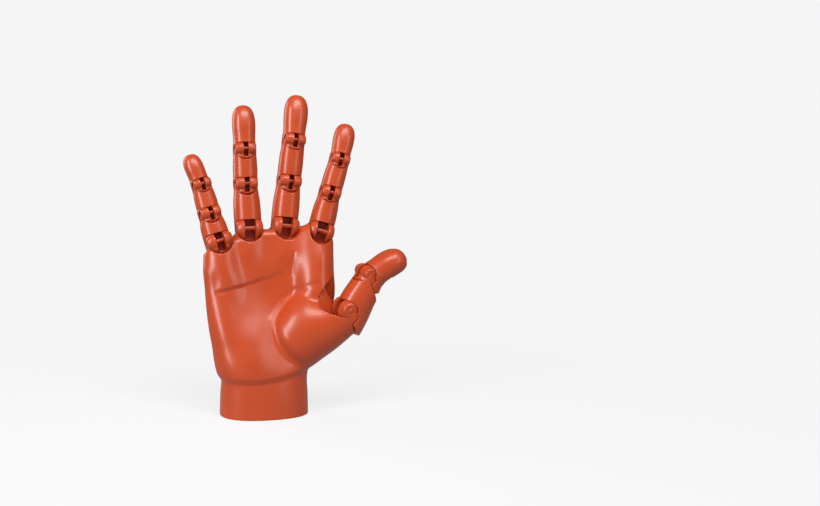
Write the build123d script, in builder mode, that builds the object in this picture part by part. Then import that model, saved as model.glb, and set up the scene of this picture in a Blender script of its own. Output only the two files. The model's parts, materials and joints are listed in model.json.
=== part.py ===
"""Articulated right hand for a below-elbow prosthesis, printed in one plastic.

Frame: the origin is the centre of the flat wrist face, +Z runs up towards the fingertips,
the palm faces -Y and the thumb lies on the +X side. All sizes are in millimetres.

Every finger joint is a hinge. The piece nearer the wrist carries a tongue: two round lobes
with a cord slot between them. The piece beyond it is a clevis: its thin cheeks wrap the
lobes and hold the cross pin, and its skirt butts on the back of the nearer piece, which
stops the joint when the finger is straight.
"""

from build123d import *
from dataclasses import dataclass
from math import cos, pi, radians, sin
import os

# --- fits and walls ---------------------------------------------------------------------
JOINT_GAP = 0.35        # clear space between faces of two pieces that turn on each other
PIN_CLEARANCE = 0.05    # radial clearance of a hinge pin in the tongue
CHEEK = 1.3             # thickness of a clevis cheek
PIN_INSET = 0.5         # how far a pin's end sits under the skin
LOBE_ROUNDING = 1.4     # round on the rims of a tongue's lobes
CORD_BORE = 1.0         # radius of the cord channel in a finger
PALM_CORD_BORE = 1.3    # radius of the cord channels in the palm
ANCHOR_RADIUS = 0.9     # cross pin that ties the cord off in each fingertip
ANCHOR_LENGTH = 7.0
ANCHOR_SHARE = 0.5      # where it crosses, as a share of the fingertip's length
PIN_CHAMFER = 0.25
SKIRT_MARGIN = 2.0      # length cut away beyond the end of a clevis's skirt
PALM_WALL = 4.0         # wall round the hollow of the palm
CAVITY_TOP = 88.0       # height of the roof of that hollow

# --- wrist ------------------------------------------------------------------------------
WRIST_HALF_WIDTH = 29.3
WRIST_HALF_DEPTH = 20.5
WRIST_ROUNDNESS = 2.3   # superellipse exponent of the wrist and palm sections
PALM_FACETS = 32        # straight sides of those sections
PLATE_THICKNESS = 6.0
PLATE_CLEARANCE = 0.2   # between the plate and its pocket
LEDGE_HEIGHT = 8.0      # ring inside the wrist that takes the screws
LEDGE_WIDTH = 10.5
POCKET_WALL = 3.6
INSERT_RADIUS = 9.0
INSERT_HEIGHT = 12.0
THREAD_RADIUS = 6.35    # 1/2 in wrist thread
SCREW_RADIUS = 1.5
SCREW_LENGTH = 11.0
SCREW_HEAD_RADIUS = 2.9
SCREW_HEAD_HEIGHT = 1.7
SCREW_PILOT_RADIUS = 1.3
SCREW_HOLE_RADIUS = 1.7
SCREW_EDGE = 6.9        # from the wrist's side to a screw's axis

ARCH_CENTRE = -5.0      # x about which the palm is arched
CORD_CONVERGENCE = 0.72 # how far the cord channels draw together at the roof of the hollow
THUMB_CORD_EXIT = (17.0, -4.0, 44.0)


@dataclass
class PalmLevel:
    """One level section of the palm: where its sides are and how it is arched."""
    z: float
    ulnar: float
    radial: float
    middle: float       # y of the section's middle at the crown of the arch
    half_depth: float
    arch: float = 0.0   # fall of the section's middle per square millimetre from the crown


PALM_LEVELS = [
    PalmLevel(0.0, -WRIST_HALF_WIDTH, WRIST_HALF_WIDTH, 0.0, WRIST_HALF_DEPTH),
    PalmLevel(14.0, -WRIST_HALF_WIDTH + 0.4, WRIST_HALF_WIDTH - 0.3, 0.0, WRIST_HALF_DEPTH - 0.3),
    PalmLevel(24.0, -28.4, 28.8, 0.0, 19.7),
    PalmLevel(34.0, -31.0, 32.0, -0.3, 20.4, 0.0004),
    PalmLevel(50.0, -34.4, 36.5, 0.8, 18.8, 0.0014),
    PalmLevel(70.0, -37.4, 40.0, 2.9, 15.6, 0.0028),
    PalmLevel(90.0, -39.4, 42.2, 4.9, 13.0, 0.0040),
    PalmLevel(106.0, -39.9, 44.0, 6.3, 11.6, 0.0044),
    PalmLevel(125.0, -38.5, 45.0, 6.5, 10.4, 0.0044),
]

# line of the webs between the fingers, from the little finger's side to the index's
WEB_LINE = [(-46.0, 105.0), (-34.0, 112.0), (-21.0, 116.0), (1.5, 121.5), (25.0, 121.0), (50.0, 114.0)]

# web between thumb and index: middle, half width across the hand, half depth
FIRST_WEB = [((33.0, -4.0, 98.0), 8.0, 8.0), ((34.5, -9.0, 84.0), 9.0, 8.5), ((36.0, -15.0, 70.0), 10.5, 9.0)]

# bulk of the thumb's base: middle, half height across the thumb, half depth
THENAR_LEVELS = [
    ((13.0, -3.0, 41.0), 19.0, 14.5),
    ((24.0, -9.5, 49.0), 17.6, 14.8),
    ((35.0, -16.0, 57.5), 14.2, 13.2),
    ((42.0, -20.0, 62.8), 11.4, 11.2),
]
THENAR_END = (-5.0, 3.0)    # last two sections, measured along the thumb from its knuckle


@dataclass
class Section:
    """Cross-section of a finger at a joint: half width, half depth, and how far its
    middle lies behind the hinge axis."""
    half_width: float
    half_depth: float
    back: float


@dataclass
class Hinge:
    """Sizes of one hinge."""
    barrel: float       # radius of the tongue's lobes
    cheek_radius: float
    slot: float         # half width of the cord slot
    pin: float          # radius of the pin
    seam: float         # how far under the axis the side seam starts
    slope: float        # fall of the side seam towards the back


@dataclass
class Digit:
    """One finger or the thumb, from its knuckle to its tip."""
    name: str
    knuckle: tuple      # hinge axis at the palm
    axis: tuple         # direction of every hinge axis of the digit
    lengths: list
    directions: list    # unit-free direction of each phalanx
    sections: list      # at each joint, then through the pad
    hinges: list
    flexion: list


def lean(spread, forward):
    """Direction of a phalanx from its angle off upright, sideways and towards the palm."""
    return (sin(radians(spread)) * cos(radians(forward)), -sin(radians(forward)),
            cos(radians(spread)) * cos(radians(forward)))


def roll(angle, spread):
    """Hinge axis of a finger whose palm side is turned by an angle about the finger."""
    return (cos(radians(angle)) * cos(radians(spread)), sin(radians(angle)),
            -sin(radians(spread)) * cos(radians(angle)))


KNUCKLE_HINGE = Hinge(6.6, 5.8, 3.7, 1.5, 4.6, 0.72)
MIDDLE_HINGE = Hinge(4.5, 3.7, 1.65, 1.2, 3.2, 0.52)
END_HINGE = Hinge(4.1, 3.4, 1.55, 1.1, 2.9, 0.46)
LITTLE_KNUCKLE_HINGE = Hinge(5.9, 5.1, 2.9, 1.4, 4.2, 0.66)
LITTLE_MIDDLE_HINGE = Hinge(4.1, 3.4, 1.5, 1.1, 3.0, 0.50)
LITTLE_END_HINGE = Hinge(3.7, 3.0, 1.4, 1.0, 2.7, 0.44)
THUMB_KNUCKLE_HINGE = Hinge(6.8, 6.0, 3.2, 1.5, 4.8, 0.45)
THUMB_END_HINGE = Hinge(5.2, 4.3, 1.8, 1.3, 3.8, 0.30)

FINGER_FLEXION = [80.0, 90.0, 60.0]

INDEX = Digit(
    "index", (37.6, -6.0, 120.3), roll(-8.0, 13.0), [26.2, 22.8, 24.0],
    [lean(12.8, 6.6), lean(16.0, 2.5), lean(10.5, -4.8)],
    [Section(8.4, 9.0, 5.5), Section(6.9, 7.6, 5.0), Section(6.2, 6.6, 4.4), Section(6.3, 6.1, 3.8)],
    [KNUCKLE_HINGE, MIDDLE_HINGE, END_HINGE], FINGER_FLEXION)
MIDDLE = Digit(
    "middle", (14.8, -0.5, 123.7), roll(-1.0, 4.6), [29.6, 26.9, 29.5],
    [lean(4.5, 5.8), lean(5.0, 6.4), lean(4.4, -3.9)],
    [Section(8.8, 9.2, 5.5), Section(7.6, 7.9, 5.2), Section(7.0, 6.9, 4.6), Section(7.3, 6.7, 4.0)],
    [KNUCKLE_HINGE, MIDDLE_HINGE, END_HINGE], FINGER_FLEXION)
RING = Digit(
    "ring", (-9.6, 1.0, 121.9), roll(-4.0, -3.0), [29.3, 22.5, 28.4],
    [lean(-4.1, 2.0), lean(-2.8, 5.1), lean(-1.8, -4.0)],
    [Section(8.9, 9.2, 5.5), Section(7.6, 7.9, 5.2), Section(6.9, 6.9, 4.6), Section(7.2, 6.7, 4.0)],
    [KNUCKLE_HINGE, MIDDLE_HINGE, END_HINGE], FINGER_FLEXION)
LITTLE = Digit(
    "little", (-30.2, -2.0, 113.6), roll(3.0, -16.5), [19.1, 19.4, 20.1],
    [lean(-16.1, -5.0), lean(-15.4, -5.5), lean(-19.5, -8.6)],
    [Section(7.8, 8.3, 5.0), Section(6.6, 6.9, 4.5), Section(5.8, 6.0, 4.0), Section(5.2, 5.3, 3.4)],
    [LITTLE_KNUCKLE_HINGE, LITTLE_MIDDLE_HINGE, LITTLE_END_HINGE], FINGER_FLEXION)
THUMB = Digit(
    "thumb", (47.4, -24.9, 71.0), (0.10, -0.97, -0.20), [26.0, 27.0],
    [(12.4, -3.5, 23.2), (25.2, -4.0, 12.6)],
    [Section(9.4, 9.4, 3.8), Section(8.4, 7.6, 4.0), Section(8.8, 7.1, 3.6)],
    [THUMB_KNUCKLE_HINGE, THUMB_END_HINGE], [25.0, 50.0])
DIGITS = [INDEX, MIDDLE, RING, LITTLE, THUMB]

PHALANX_NAMES = {3: ["proximal", "middle", "distal"], 2: ["proximal", "distal"]}
JOINT_NAMES = {3: ["knuckle", "middle_joint", "end_joint"], 2: ["knuckle", "end_joint"]}
TIP_PROFILE = [(0.35, 1.0), (0.62, 0.985), (0.8, 0.87), (0.91, 0.68), (0.97, 0.45), (1.0, 0.22)]
FAR = 60.0              # beyond any piece, for cutting shapes
REACH = 17.0            # beyond the joint's own bulk, for cuts that stay near a joint


def joint_points(digit):
    """Hinge centres of a digit followed by its tip."""
    points = [Vector(*digit.knuckle)]
    for length, direction in zip(digit.lengths, digit.directions):
        points.append(points[-1] + Vector(*direction).normalized() * length)
    return points


def square_to(direction, axis):
    """Part of a direction that is square to an axis, at unit length."""
    return (direction - axis * direction.dot(axis)).normalized()


def hinge_plane(digit, index):
    """Plane at a hinge: x along its axis, z along the finger, y towards the back."""
    axis = Vector(*digit.axis).normalized()
    along = Vector(*digit.directions[index]).normalized()
    if index > 0:
        along = along + Vector(*digit.directions[index - 1]).normalized()
    elif digit is THUMB:
        along = along + Vector(0.55, -0.3, 0.6).normalized()
    return Plane(origin=joint_points(digit)[index], x_dir=axis, z_dir=square_to(along, axis))


def side_plane(plane, offset=0.0):
    """Sketch plane square to a hinge axis: sketch x to the back, sketch y along the finger."""
    return Plane(origin=plane.origin + plane.x_dir * offset, x_dir=plane.y_dir, z_dir=plane.x_dir)


def finger_section(digit, index, share, section, scale=1.0):
    """Plane and sizes of a finger's cross-section at a share of a phalanx's length."""
    start, end = joint_points(digit)[index:index + 2]
    along = (end - start).normalized()
    axis = square_to(Vector(*digit.axis), along)
    back = along.cross(axis)
    origin = start + (end - start) * share + back * section.back
    with BuildSketch(Plane(origin=origin, x_dir=axis, z_dir=along)) as outline:
        Ellipse(section.half_width * scale, section.half_depth * scale)
    return outline.sketch


def between(first, second, share):
    """Section part of the way from one section to another."""
    return Section(*(a + (b - a) * share for a, b in zip(
        (first.half_width, first.half_depth, first.back),
        (second.half_width, second.half_depth, second.back))))


def seam_height(hinge, back):
    """Height of the side seam at a distance behind the hinge axis."""
    return -hinge.seam - hinge.slope * (back - hinge.cheek_radius * 0.5)


def seam_cut(plane, hinge, half_width, above, left=-REACH):
    """Slab on one side of the seam, square to the hinge axis, from left to behind the joint."""
    gap = JOINT_GAP if above else 0.0
    edge = REACH if above else -FAR
    right = REACH * 1.2
    with BuildSketch(side_plane(plane)) as outline:
        with BuildLine():
            Polyline((left, seam_height(hinge, left) - gap), (right, seam_height(hinge, right) - gap),
                     (right, edge), (left, edge), close=True)
        make_face()
        if not above:
            Circle(hinge.cheek_radius, mode=Mode.SUBTRACT)
    return extrude(outline.sketch, amount=half_width, both=True, mode=Mode.PRIVATE)


def round_bar(plane, radius, half_width, offset=0.0):
    """Cylinder along a hinge axis."""
    with BuildSketch(side_plane(plane, offset)) as outline:
        Circle(radius)
    return extrude(outline.sketch, amount=half_width, both=True, mode=Mode.PRIVATE)


def slab(plane, half_width, low, high, front, rear):
    """Box at a hinge: low to high along the finger, front to rear across it."""
    with BuildSketch(side_plane(plane)) as outline:
        with BuildLine():
            Polyline((front, low), (rear, low), (rear, high), (front, high), close=True)
        make_face()
    return extrude(outline.sketch, amount=half_width, both=True, mode=Mode.PRIVATE)


def tongue_half_width(section):
    return section.half_width - CHEEK - JOINT_GAP


def tongue_cuts(plane, hinge, section):
    """What is cut off the end of a piece to leave a tongue's neck and room for the clevis."""
    half = tongue_half_width(section)
    full = section.half_width + JOINT_GAP
    cuts = [seam_cut(plane, hinge, half, above=True, left=hinge.barrel),
            slab(plane, half, 0, REACH, -REACH, REACH * 1.2),
            slab(plane, hinge.slot, -hinge.barrel - 1.0, REACH, -REACH, hinge.barrel + 1.0),
            round_bar(plane, hinge.pin + PIN_CLEARANCE, full)]
    for side in (-1, 1):
        middle = side * (half + full) / 2
        shifted = Plane(origin=plane.origin + plane.x_dir * middle, x_dir=plane.x_dir, z_dir=plane.z_dir)
        cuts.append(seam_cut(shifted, hinge, (full - half) / 2, above=True))
        cuts.append(round_bar(shifted, hinge.cheek_radius + JOINT_GAP, (full - half) / 2))
    return cuts


def tongue_lobes(plane, hinge, section):
    """The two round lobes of a tongue, bored for the pin."""
    half = tongue_half_width(section)
    with BuildPart(mode=Mode.PRIVATE) as lobes:
        add(round_bar(plane, hinge.barrel, half))
        fillet(lobes.edges().filter_by(GeomType.CIRCLE), radius=LOBE_ROUNDING)
        add([slab(plane, hinge.slot, -REACH, REACH, -REACH, REACH),
             round_bar(plane, hinge.pin + PIN_CLEARANCE, half + 1.0)], mode=Mode.SUBTRACT)
    return lobes.part


def clevis_cuts(plane, hinge, section):
    """What is cut off the near end of a piece to leave a clevis round the tongue's lobes."""
    inner = tongue_half_width(section) + JOINT_GAP
    return [seam_cut(plane, hinge, FAR, above=False),
            slab(plane, inner, -FAR, 0, -FAR, hinge.barrel + JOINT_GAP),
            round_bar(plane, hinge.barrel + JOINT_GAP, inner),
            round_bar(plane, hinge.pin, section.half_width - PIN_INSET)]


def channel(start, end, radius):
    """Straight round hole from one point to another."""
    run = end - start
    with BuildSketch(Plane(origin=start, z_dir=run.normalized())) as outline:
        Circle(radius)
    return extrude(outline.sketch, amount=run.length, mode=Mode.PRIVATE)


def palm_outline(level, inset=0.0):
    """Closed outline of a level section of the palm, moved in by inset."""
    half_width = (level.radial - level.ulnar) / 2 - inset
    half_depth = level.half_depth - inset
    centre = (level.radial + level.ulnar) / 2
    points = []
    for step in range(PALM_FACETS):
        angle = 2 * pi * step / PALM_FACETS
        across, depth = cos(angle), sin(angle)
        x = centre + half_width * abs(across) ** (2 / WRIST_ROUNDNESS) * (1 if across >= 0 else -1)
        y = half_depth * abs(depth) ** (2 / WRIST_ROUNDNESS) * (1 if depth >= 0 else -1)
        points.append((x, y + level.middle - level.arch * (x - ARCH_CENTRE) ** 2))
    with BuildSketch(Plane.XY.offset(level.z)) as outline:
        with BuildLine():
            Polyline(*points, close=True)
        make_face()
    return outline.sketch


def level_at(z):
    """Section of the palm at any height, between the given levels."""
    for low, high in zip(PALM_LEVELS, PALM_LEVELS[1:]):
        if low.z <= z <= high.z:
            share = (z - low.z) / (high.z - low.z)
            mix = [a + (b - a) * share for a, b in zip(vars(low).values(), vars(high).values())]
            return PalmLevel(*mix)
    return PALM_LEVELS[-1]


def oval(plane, half_x, half_y):
    """Faceted ellipse on a plane."""
    turns = [2 * pi * step / PALM_FACETS for step in range(PALM_FACETS)]
    with BuildSketch(plane) as outline:
        with BuildLine():
            Polyline(*[(half_x * cos(turn), half_y * sin(turn)) for turn in turns], close=True)
        make_face()
    return outline.sketch


def thenar_sections():
    """Sections of the thumb's base, from inside the palm to its knuckle."""
    start, end = Vector(*THENAR_LEVELS[0][0]), Vector(*THENAR_LEVELS[-1][0])
    metacarpal = (end - start).normalized()
    axis = square_to(Vector(*THUMB.axis), metacarpal)
    sections = [oval(Plane(origin=Vector(*place), x_dir=axis, z_dir=metacarpal), half_depth, half_height)
                for place, half_height, half_depth in THENAR_LEVELS]
    knuckle, base = hinge_plane(THUMB, 0), THUMB.sections[0]
    for height in THENAR_END:
        origin = knuckle.origin + knuckle.y_dir * base.back + knuckle.z_dir * height
        sections.append(oval(Plane(origin=origin, x_dir=knuckle.x_dir, z_dir=knuckle.z_dir),
                             base.half_width, base.half_depth))
    return sections


def cord_roof(digit):
    """Point in the hollow of the palm where a digit's cord channel comes out."""
    if digit is THUMB:
        return Vector(*THUMB_CORD_EXIT)
    roof = level_at(CAVITY_TOP)
    x = digit.knuckle[0] * CORD_CONVERGENCE
    return Vector(x, roof.middle - roof.arch * (x - ARCH_CENTRE) ** 2, CAVITY_TOP - 1)


def screw_places():
    """Axes of the wrist screws."""
    across = WRIST_HALF_WIDTH - SCREW_EDGE
    deep = WRIST_HALF_DEPTH - SCREW_EDGE
    return [(across, 0), (-across, 0), (0, deep), (0, -deep)]


os.makedirs("parts", exist_ok=True)


def save(piece, name):
    """Label a finished piece and write it."""
    piece.part.label = name
    export_step(piece.part, f"parts/{name}.step")


# --- palm -------------------------------------------------------------------------------
with BuildPart() as hollow:
    hollow_levels = [PLATE_THICKNESS + LEDGE_HEIGHT, 24.0, 40.0, 60.0, CAVITY_TOP]
    loft([palm_outline(level_at(z), PALM_WALL) for z in hollow_levels], ruled=True)
    with BuildSketch():
        add(palm_outline(PALM_LEVELS[0], POCKET_WALL))
    extrude(amount=PLATE_THICKNESS)
    with BuildSketch():
        add(palm_outline(PALM_LEVELS[0], LEDGE_WIDTH))
    extrude(amount=PLATE_THICKNESS + LEDGE_HEIGHT)

with BuildPart() as above_webs:
    with BuildSketch(Plane.XZ):
        with BuildLine():
            Polyline(*WEB_LINE, (WEB_LINE[-1][0], 2 * FAR + 20), (WEB_LINE[0][0], 2 * FAR + 20), close=True)
        make_face()
    extrude(amount=FAR, both=True)

with BuildPart() as palm:
    loft([palm_outline(level) for level in PALM_LEVELS], ruled=True)
    loft([oval(Plane(origin=place), half_x, half_y) for place, half_x, half_y in FIRST_WEB], ruled=True)
    loft(thenar_sections(), ruled=True)
    cuts = [hollow.part, above_webs.part]
    for digit in DIGITS:
        cuts += tongue_cuts(hinge_plane(digit, 0), digit.hinges[0], digit.sections[0])
        cuts.append(channel(Vector(*digit.knuckle), cord_roof(digit), PALM_CORD_BORE))
    for x, y in screw_places():
        cuts.append(channel(Vector(x, y, PLATE_THICKNESS), Vector(x, y, SCREW_LENGTH + 1), SCREW_PILOT_RADIUS))
    add(cuts, mode=Mode.SUBTRACT)
    add([tongue_lobes(hinge_plane(digit, 0), digit.hinges[0], digit.sections[0]) for digit in DIGITS])
save(palm, "palm_shell")

# --- wrist plate, insert and screws ---------------------------------------------------------
with BuildPart() as wrist_plate:
    with BuildSketch() as outline:
        add(palm_outline(PALM_LEVELS[0], POCKET_WALL + PLATE_CLEARANCE))
        Circle(INSERT_RADIUS, mode=Mode.SUBTRACT)
    extrude(amount=PLATE_THICKNESS)
    for x, y in screw_places():
        with Locations(Location((x, y, 0), (180, 0, 0))):
            CounterSinkHole(SCREW_HOLE_RADIUS, SCREW_HEAD_RADIUS + 0.1, depth=PLATE_THICKNESS)
save(wrist_plate, "wrist_plate")

with BuildPart() as wrist_insert:
    with Locations((0, 0, 0)):
        Cylinder(INSERT_RADIUS, INSERT_HEIGHT, align=(Align.CENTER, Align.CENTER, Align.MIN))
        Cylinder(THREAD_RADIUS, INSERT_HEIGHT, align=(Align.CENTER, Align.CENTER, Align.MIN),
                 mode=Mode.SUBTRACT)
save(wrist_insert, "wrist_thread_insert")

with BuildPart() as wrist_screws:
    for x, y in screw_places():
        with Locations((x, y, 0)):
            Cone(SCREW_HEAD_RADIUS, SCREW_RADIUS, SCREW_HEAD_HEIGHT,
                 align=(Align.CENTER, Align.CENTER, Align.MIN))
            Cylinder(SCREW_RADIUS, SCREW_LENGTH, align=(Align.CENTER, Align.CENTER, Align.MIN))
            Cylinder(0.8, 0.9, align=(Align.CENTER, Align.CENTER, Align.MIN), mode=Mode.SUBTRACT)
save(wrist_screws, "wrist_screws")

# --- fingers and thumb ------------------------------------------------------------------
def phalanx_sections(digit, index):
    """Cross-sections of a phalanx from its skirt to its far joint or its tip."""
    near, far = digit.sections[index], digit.sections[index + 1]
    length = digit.lengths[index]
    skirt = -(SKIRT_MARGIN - seam_height(digit.hinges[index], near.back + near.half_depth)) / length
    if index == len(digit.lengths) - 1:
        stations = [(skirt, 0.0, 1.0), (0.0, 0.0, 1.0)] + [
            (share, min(1.0, share * 2), scale) for share, scale in TIP_PROFILE]
    else:
        stations = [(skirt, 0.0, 1.0), (0.0, 0.0, 1.0), (0.5, 0.62, 1.0), (1.0 + 1.0 / length, 1.0, 1.0)]
    return [finger_section(digit, index, share, between(near, far, blend), scale)
            for share, blend, scale in stations]


for digit in DIGITS:
    points = joint_points(digit)
    count = len(digit.lengths)
    for index in range(count):
        near, far = digit.sections[index], digit.sections[index + 1]
        plane, hinge = hinge_plane(digit, index), digit.hinges[index]
        last = index == count - 1
        cord_end = points[index] + (points[index + 1] - points[index]) * (ANCHOR_SHARE if last else 1.0)
        tie_plane = Plane(origin=cord_end, x_dir=plane.x_dir, z_dir=plane.z_dir)
        with BuildPart() as phalanx:
            loft(phalanx_sections(digit, index), ruled=True)
            cuts = clevis_cuts(plane, hinge, near) + [channel(points[index], cord_end, CORD_BORE)]
            if last:
                add(cuts + [round_bar(tie_plane, ANCHOR_RADIUS, ANCHOR_LENGTH / 2)], mode=Mode.SUBTRACT)
            else:
                joint = (hinge_plane(digit, index + 1), digit.hinges[index + 1], far)
                add(cuts + tongue_cuts(*joint), mode=Mode.SUBTRACT)
                add(tongue_lobes(*joint))
        save(phalanx, f"{digit.name}_{PHALANX_NAMES[count][index]}")
        with BuildPart() as pin:
            add(round_bar(plane, hinge.pin, near.half_width - PIN_INSET))
            chamfer(pin.edges().filter_by(GeomType.CIRCLE), length=PIN_CHAMFER)
        save(pin, f"{digit.name}_{JOINT_NAMES[count][index]}_pin")
        if last:
            with BuildPart() as anchor:
                add(round_bar(tie_plane, ANCHOR_RADIUS, ANCHOR_LENGTH / 2))
            save(anchor, f"{digit.name}_cord_anchor")
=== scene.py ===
"""Looks of the articulated right hand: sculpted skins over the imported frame, finishes, light.

The skins are solid shapes described by fields: a function of position that is negative inside
the piece and positive outside. Fields are worked in millimetres in the frame's own axes, and
meshes are made in metres.
"""

import json
import logging
import math
from dataclasses import dataclass, field
from enum import Enum
from typing import Callable

import bpy
import numpy as np
import openvdb
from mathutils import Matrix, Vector

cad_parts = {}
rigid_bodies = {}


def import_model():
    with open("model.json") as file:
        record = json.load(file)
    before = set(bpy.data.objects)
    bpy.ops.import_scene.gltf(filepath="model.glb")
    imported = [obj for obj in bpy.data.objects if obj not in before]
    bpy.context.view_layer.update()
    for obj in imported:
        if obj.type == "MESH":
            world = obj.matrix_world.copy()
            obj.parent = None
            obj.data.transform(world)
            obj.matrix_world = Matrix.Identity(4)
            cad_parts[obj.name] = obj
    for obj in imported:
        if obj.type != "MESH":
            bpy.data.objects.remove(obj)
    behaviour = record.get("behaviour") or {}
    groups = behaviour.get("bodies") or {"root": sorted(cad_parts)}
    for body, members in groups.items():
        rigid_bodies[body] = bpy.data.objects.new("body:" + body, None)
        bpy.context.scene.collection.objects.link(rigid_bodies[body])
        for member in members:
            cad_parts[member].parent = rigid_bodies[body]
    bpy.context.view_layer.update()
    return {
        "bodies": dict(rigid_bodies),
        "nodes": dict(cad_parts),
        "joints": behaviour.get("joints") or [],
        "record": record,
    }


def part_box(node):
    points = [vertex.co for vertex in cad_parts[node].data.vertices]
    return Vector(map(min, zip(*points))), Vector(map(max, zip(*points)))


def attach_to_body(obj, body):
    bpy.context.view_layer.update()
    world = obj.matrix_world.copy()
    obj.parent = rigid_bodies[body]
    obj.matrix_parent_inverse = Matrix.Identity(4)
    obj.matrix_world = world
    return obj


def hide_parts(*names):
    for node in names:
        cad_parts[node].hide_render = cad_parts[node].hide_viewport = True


LOG = logging.getLogger("hand")
MM = 0.001
GAP = 0.22              # clear line between two visible pieces
EDGE = 0.3              # rounding where a seam cuts a skin
SLOT_EDGE = 0.4         # rounding at slots and pockets
SLOT_FLOOR = 3.2        # how far behind the hinge axis a slot reaches
PHALANX_FILLET = 1.6    # fillet between the phalanges of one digit
SKIRT_RUN = 24.0        # how far a first phalanx's skin runs past its knuckle
JOINT_RUN = 2.5         # how far any other skin runs past its joint
POCKET_RADIUS = 20.0    # reach of a digit's pocket in the palm
POCKET_BACK = 4.0       # its centre, behind the hinge axis

Array = np.ndarray
Field = Callable[[Array, Array, Array], Array]


# --- arithmetic on fields -------------------------------------------------------------------
def soft_min(first: Array, second: Array, width: float) -> Array:
    """Union of two fields with a fillet of about the given width.

    Args:
        first: One field.
        second: The other.
        width: Size of the fillet.

    Returns:
        The joined field.
    """
    share = np.clip(0.5 + 0.5 * (second - first) / width, 0.0, 1.0)
    return second + (first - second) * share - width * share * (1.0 - share)


def soft_max(first: Array, second: Array, width: float) -> Array:
    """Intersection of two fields with a rounded edge of about the given width."""
    return -soft_min(-first, -second, width)


def bump(distance: Array, width: float) -> Array:
    """Bell curve of height 1 and the given half width."""
    return np.exp(-np.square(distance / width))


def step_up(value: Array, low: float, high: float) -> Array:
    """Smooth rise from 0 at low to 1 at high.

    Args:
        value: What is tested.
        low: Where the rise starts.
        high: Where it ends.

    Returns:
        The height, from 0 to 1.
    """
    share = np.clip((value - low) / (high - low), 0.0, 1.0)
    return share * share * (3.0 - 2.0 * share)


def unit(vector: Array) -> Array:
    """Vector at unit length."""
    return vector / np.linalg.norm(vector)


def ellipsoid(x: Array, y: Array, z: Array, middle: tuple, radii: tuple) -> Array:
    """Field of an ellipsoid set along the frame's axes.

    Args:
        x: Positions across the hand.
        y: Positions towards the back.
        z: Heights.
        middle: Its centre.
        radii: Its half sizes.

    Returns:
        The field.
    """
    a, b, c = ((v - m) / r for v, m, r in zip((x, y, z), middle, radii))
    return (np.sqrt(a * a + b * b + c * c) - 1.0) * min(radii)


def path_distance(x: Array, z: Array, points: list[tuple[float, float]]) -> tuple[Array, Array]:
    """Distance in the XZ plane to a broken line, and how far along it the nearest point is.

    Args:
        x: Positions across the hand.
        z: Heights.
        points: Corners of the line.

    Returns:
        The distance, and the share of the line's run at the nearest point.
    """
    best = np.full(np.shape(x), 1e6, dtype=np.float32)
    along = np.zeros(np.shape(x), dtype=np.float32)
    count = len(points) - 1
    for index, ((ax, az), (bx, bz)) in enumerate(zip(points, points[1:])):
        run_x, run_z = bx - ax, bz - az
        share = np.clip(((x - ax) * run_x + (z - az) * run_z) / (run_x ** 2 + run_z ** 2), 0.0, 1.0)
        distance = np.hypot(x - ax - run_x * share, z - az - run_z * share)
        along = np.where(distance < best, (index + share) / count, along)
        best = np.minimum(best, distance)
    return best, along


def smooth_interp(value: Array, at: list[float], heights: list[float]) -> Array:
    """Smooth curve through given heights, with no overshoot.

    Args:
        value: Where the curve is read.
        at: Places of the heights, rising.
        heights: The heights.

    Returns:
        The curve's height at each value.
    """
    slopes = np.gradient(np.array(heights), np.array(at))
    value = np.clip(value, at[0], at[-1])
    place = np.clip(np.searchsorted(at, value, side="right") - 1, 0, len(at) - 2)
    at_array, height_array = np.array(at), np.array(heights)
    span = at_array[place + 1] - at_array[place]
    t = (value - at_array[place]) / span
    first, second = height_array[place], height_array[place + 1]
    curve = (first * (1 + 2 * t) * (1 - t) ** 2 + second * t * t * (3 - 2 * t)
             + span * (slopes[place] * t * (1 - t) ** 2 - slopes[place + 1] * t * t * (1 - t)))
    return curve


@dataclass
class Axes:
    """Right-handed axes at a point: across is a hinge axis, back is away from the palm."""
    origin: Array
    across: Array
    back: Array
    along: Array

    @classmethod
    def at(cls, origin: Array, across: Array, along: Array) -> "Axes":
        """Axes from a point, the exact across direction and a rough along direction.

        Args:
            origin: The point.
            across: Direction kept as it is.
            along: Direction squared up to it.

        Returns:
            The axes.
        """
        across = unit(across)
        along = unit(along - across * np.dot(along, across))
        return cls(origin, across, np.cross(along, across), along)

    def local(self, x: Array, y: Array, z: Array) -> tuple[Array, Array, Array]:
        """Coordinates of points along across, back and along.

        Args:
            x: Positions across the hand.
            y: Positions towards the back.
            z: Heights.

        Returns:
            Offsets from the origin along the three axes.
        """
        dx, dy, dz = x - self.origin[0], y - self.origin[1], z - self.origin[2]
        return tuple(dx * d[0] + dy * d[1] + dz * d[2] for d in (self.across, self.back, self.along))


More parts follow.
